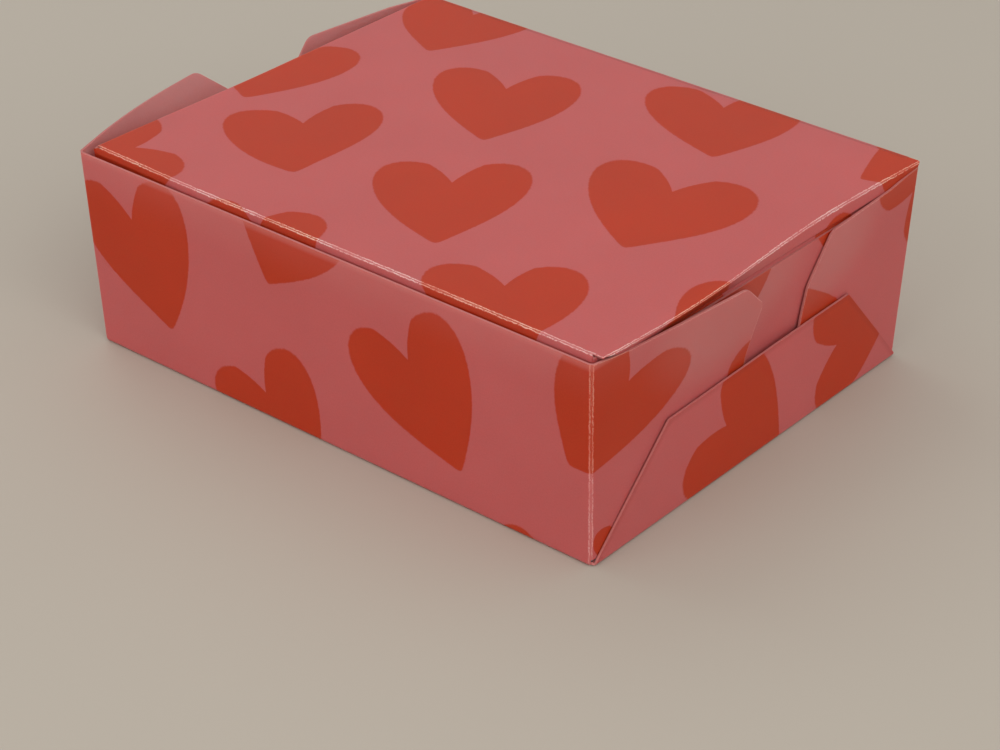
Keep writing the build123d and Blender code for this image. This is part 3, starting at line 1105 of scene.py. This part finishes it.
def bow_crease(net, box, lid, crease):
    """Lets the near crease wave and sag a little, and the near ear bulge, as hand-folded card does."""
    for vert in net.verts(["panel", "near end skirt"]):
        under = max(0.0, min(1.0, 1 + vert.co.z / lid.step_drop))
        along = max(-1.0, min(1.0, 2 * vert.co.y / box.width))
        part = ease(vert.co.x, crease - lid.wave_reach, crease) * under
        drift = Vector((-lid.wave * math.sin(math.pi * along), 0.0, lid.sag * (along * along - 1)))
        vert.co += drift * part
    for vert in net.verts(["near ear", "near end skirt"]):
        under = ease(-vert.co.z, lid.band_depth, lid.ear_drop + box.card)
        above = ease(vert.co.z, -lid.end_depth, 0.0)
        middle = max(0.0, 1 - (2 * vert.co.y / box.width) ** 2)
        vert.co.x += lid.ear_bulge * under * above * middle


def bend_strip(box, lid):
    """Strip of card round the back fold, from the back wall over on to the lid."""
    net = CardNet()
    half = box.length / 2 - lid.far_inset
    edge = box.width / 2
    bend = edge + lid.strip_lap / 4
    low, high = edge - 2 * lid.strip_lap, edge + 2 * lid.strip_lap
    net.draw("strip", [(-half, low), (half, low), (half, high), (-half, high)])
    net.join(1)
    net.rule(["strip"], box.grid)
    net.fold(["strip"], [], (half, bend), (-half, bend), -SQUARE, lid.strip_radius, STRIP_WEAR)
    bmesh.ops.translate(net.mesh, vec=UP * (box.height + box.card + lid.strip_proud), verts=net.mesh.verts)
    return net


class CARDBOX_OT_tray(Operator):
    """Folds the tray from its net and prints it"""

    bl_idname = "cardbox.tray"
    bl_label = "Fold Tray"

    def execute(self, context):
        scene = context.scene
        box, tabs, colours = scene.cardbox_sizes, scene.cardbox_tabs, scene.cardbox_colours
        net = draw_tray(box, tabs)
        fold_tray(net, box, tabs)
        rim = (wall_foot(box) + wall_slope(box)) / MM
        tray = net.piece("folded_tray", box.card, [
            printed_card("tray_print", colours, TRAY_HEARTS, rim, rim - TRAY_TIP_DROP, TRAY_CRACKS),
            card_back("tray_back", colours),
            cut_edge("tray_edge", colours),
        ])
        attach(tray, "tray")
        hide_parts("box_tray")
        return {"FINISHED"}


class CARDBOX_OT_lid(Operator):
    """Folds the lid from its net and prints it"""

    bl_idname = "cardbox.lid"
    bl_label = "Fold Lid"

    def execute(self, context):
        scene = context.scene
        box, lid, colours = scene.cardbox_sizes, scene.cardbox_lid, scene.cardbox_colours
        net = draw_lid(box, lid)
        fold_lid(net, box, lid)
        piece = net.piece("folded_lid", box.card, [
            printed_card("lid_print", colours, LID_HEARTS, NO_RIM, EAR_TIP, LID_CRACKS),
            card_back("lid_back", colours),
            cut_edge("lid_edge", colours),
        ])
        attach(piece, "lid")
        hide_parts("hinged_lid")
        return {"FINISHED"}


class CARDBOX_OT_back_fold(Operator):
    """Bends the strip of card that joins the lid to the back wall"""

    bl_idname = "cardbox.back_fold"
    bl_label = "Bend Back Fold"

    def execute(self, context):
        scene = context.scene
        box, lid, colours = scene.cardbox_sizes, scene.cardbox_lid, scene.cardbox_colours
        strip = bend_strip(box, lid)
        piece = strip.piece("back_fold", lid.strip_card, [
            printed_card("fold_print", colours, LID_HEARTS, NO_RIM, NO_RIM, LID_CRACKS),
            card_back("fold_back", colours),
            cut_edge("fold_edge", colours),
        ])
        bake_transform(piece)
        return {"FINISHED"}


class CARDBOX_OT_stage(Operator):
    """Lays the floor and sets the lamps and the camera"""

    bl_idname = "cardbox.stage"
    bl_label = "Set Stage"

    def execute(self, context):
        scene = context.scene
        studio = scene.cardbox_studio
        floor_mesh = bmesh.new()
        bmesh.ops.create_grid(floor_mesh, x_segments=1, y_segments=1, size=studio.floor_half)
        data = bpy.data.meshes.new("floor")
        floor_mesh.to_mesh(data)
        floor_mesh.free()
        data.materials.append(floor_paint("floor_paint", studio.floor))
        floor = bpy.data.objects.new("floor", data)
        scene.collection.objects.link(floor)
        self.lamp(scene, studio, "key_lamp", studio.key, studio.key_place)
        self.lamp(scene, studio, "front_lamp", studio.front, studio.front_place)
        self.lamp(scene, studio, "side_lamp", studio.side, studio.side_place)
        world = bpy.data.worlds.new("even_light")
        world.use_nodes = True
        ground = world.node_tree.nodes["Background"]
        ground.inputs["Color"].default_value = solid(studio.sky_tint)
        ground.inputs["Strength"].default_value = studio.sky
        scene.world = world
        self.camera(scene, studio)
        scene.view_settings.view_transform = "Standard"
        return {"FINISHED"}

    def lamp(self, scene, studio, name, energy, stand):
        """Square lamp that faces the box."""
        data = bpy.data.lights.new(name, "AREA")
        data.energy = energy
        data.size = studio.lamp_size
        data.color = studio.lamp_tint
        lamp = bpy.data.objects.new(name, data)
        lamp.location = stand
        lamp.rotation_euler = (Vector(studio.lamp_aim) - Vector(stand)).to_track_quat("-Z", "Y").to_euler()
        scene.collection.objects.link(lamp)

    def camera(self, scene, studio):
        """Camera of the main view."""
        data = bpy.data.cameras.new("camera")
        data.lens = studio.lens
        data.clip_start = studio.near_clip
        camera = bpy.data.objects.new("camera", data)
        camera.location = studio.eye
        camera.rotation_euler = (-Vector(studio.back)).to_track_quat("-Z", "Y").to_euler()
        scene.collection.objects.link(camera)
        scene.camera = camera


class CARDBOX_PT_panel(Panel):
    """Sizes, colours and steps of the card box"""

    bl_idname = "CARDBOX_PT_panel"
    bl_label = "Card Box"
    bl_space_type = "VIEW_3D"
    bl_region_type = "UI"
    bl_category = "Card Box"

    def draw(self, context):
        scene = context.scene
        for name in GROUPS:
            column = self.layout.column(heading=name)
            for prop in getattr(scene, name).__annotations__:
                column.prop(getattr(scene, name), prop)
        for operator in OPERATORS:
            self.layout.operator(operator.bl_idname)


GROUPS = {
    "cardbox_sizes": BoxSizes,
    "cardbox_tabs": TabSizes,
    "cardbox_lid": LidSizes,
    "cardbox_colours": CardColours,
    "cardbox_studio": StudioSettings,
}
OPERATORS = (CARDBOX_OT_tray, CARDBOX_OT_lid, CARDBOX_OT_back_fold, CARDBOX_OT_stage)
CLASSES = (*GROUPS.values(), *OPERATORS, CARDBOX_PT_panel)


def register():
    for made in CLASSES:
        bpy.utils.register_class(made)
    for name, group in GROUPS.items():
        setattr(bpy.types.Scene, name, PointerProperty(type=group))


def unregister():
    for name in GROUPS:
        delattr(bpy.types.Scene, name)
    for made in reversed(CLASSES):
        bpy.utils.unregister_class(made)


def main():
    register()
    bpy.ops.cardbox.tray()
    bpy.ops.cardbox.lid()
    bpy.ops.cardbox.back_fold()
    bpy.ops.cardbox.stage()


if __name__ == "__main__":
    main()
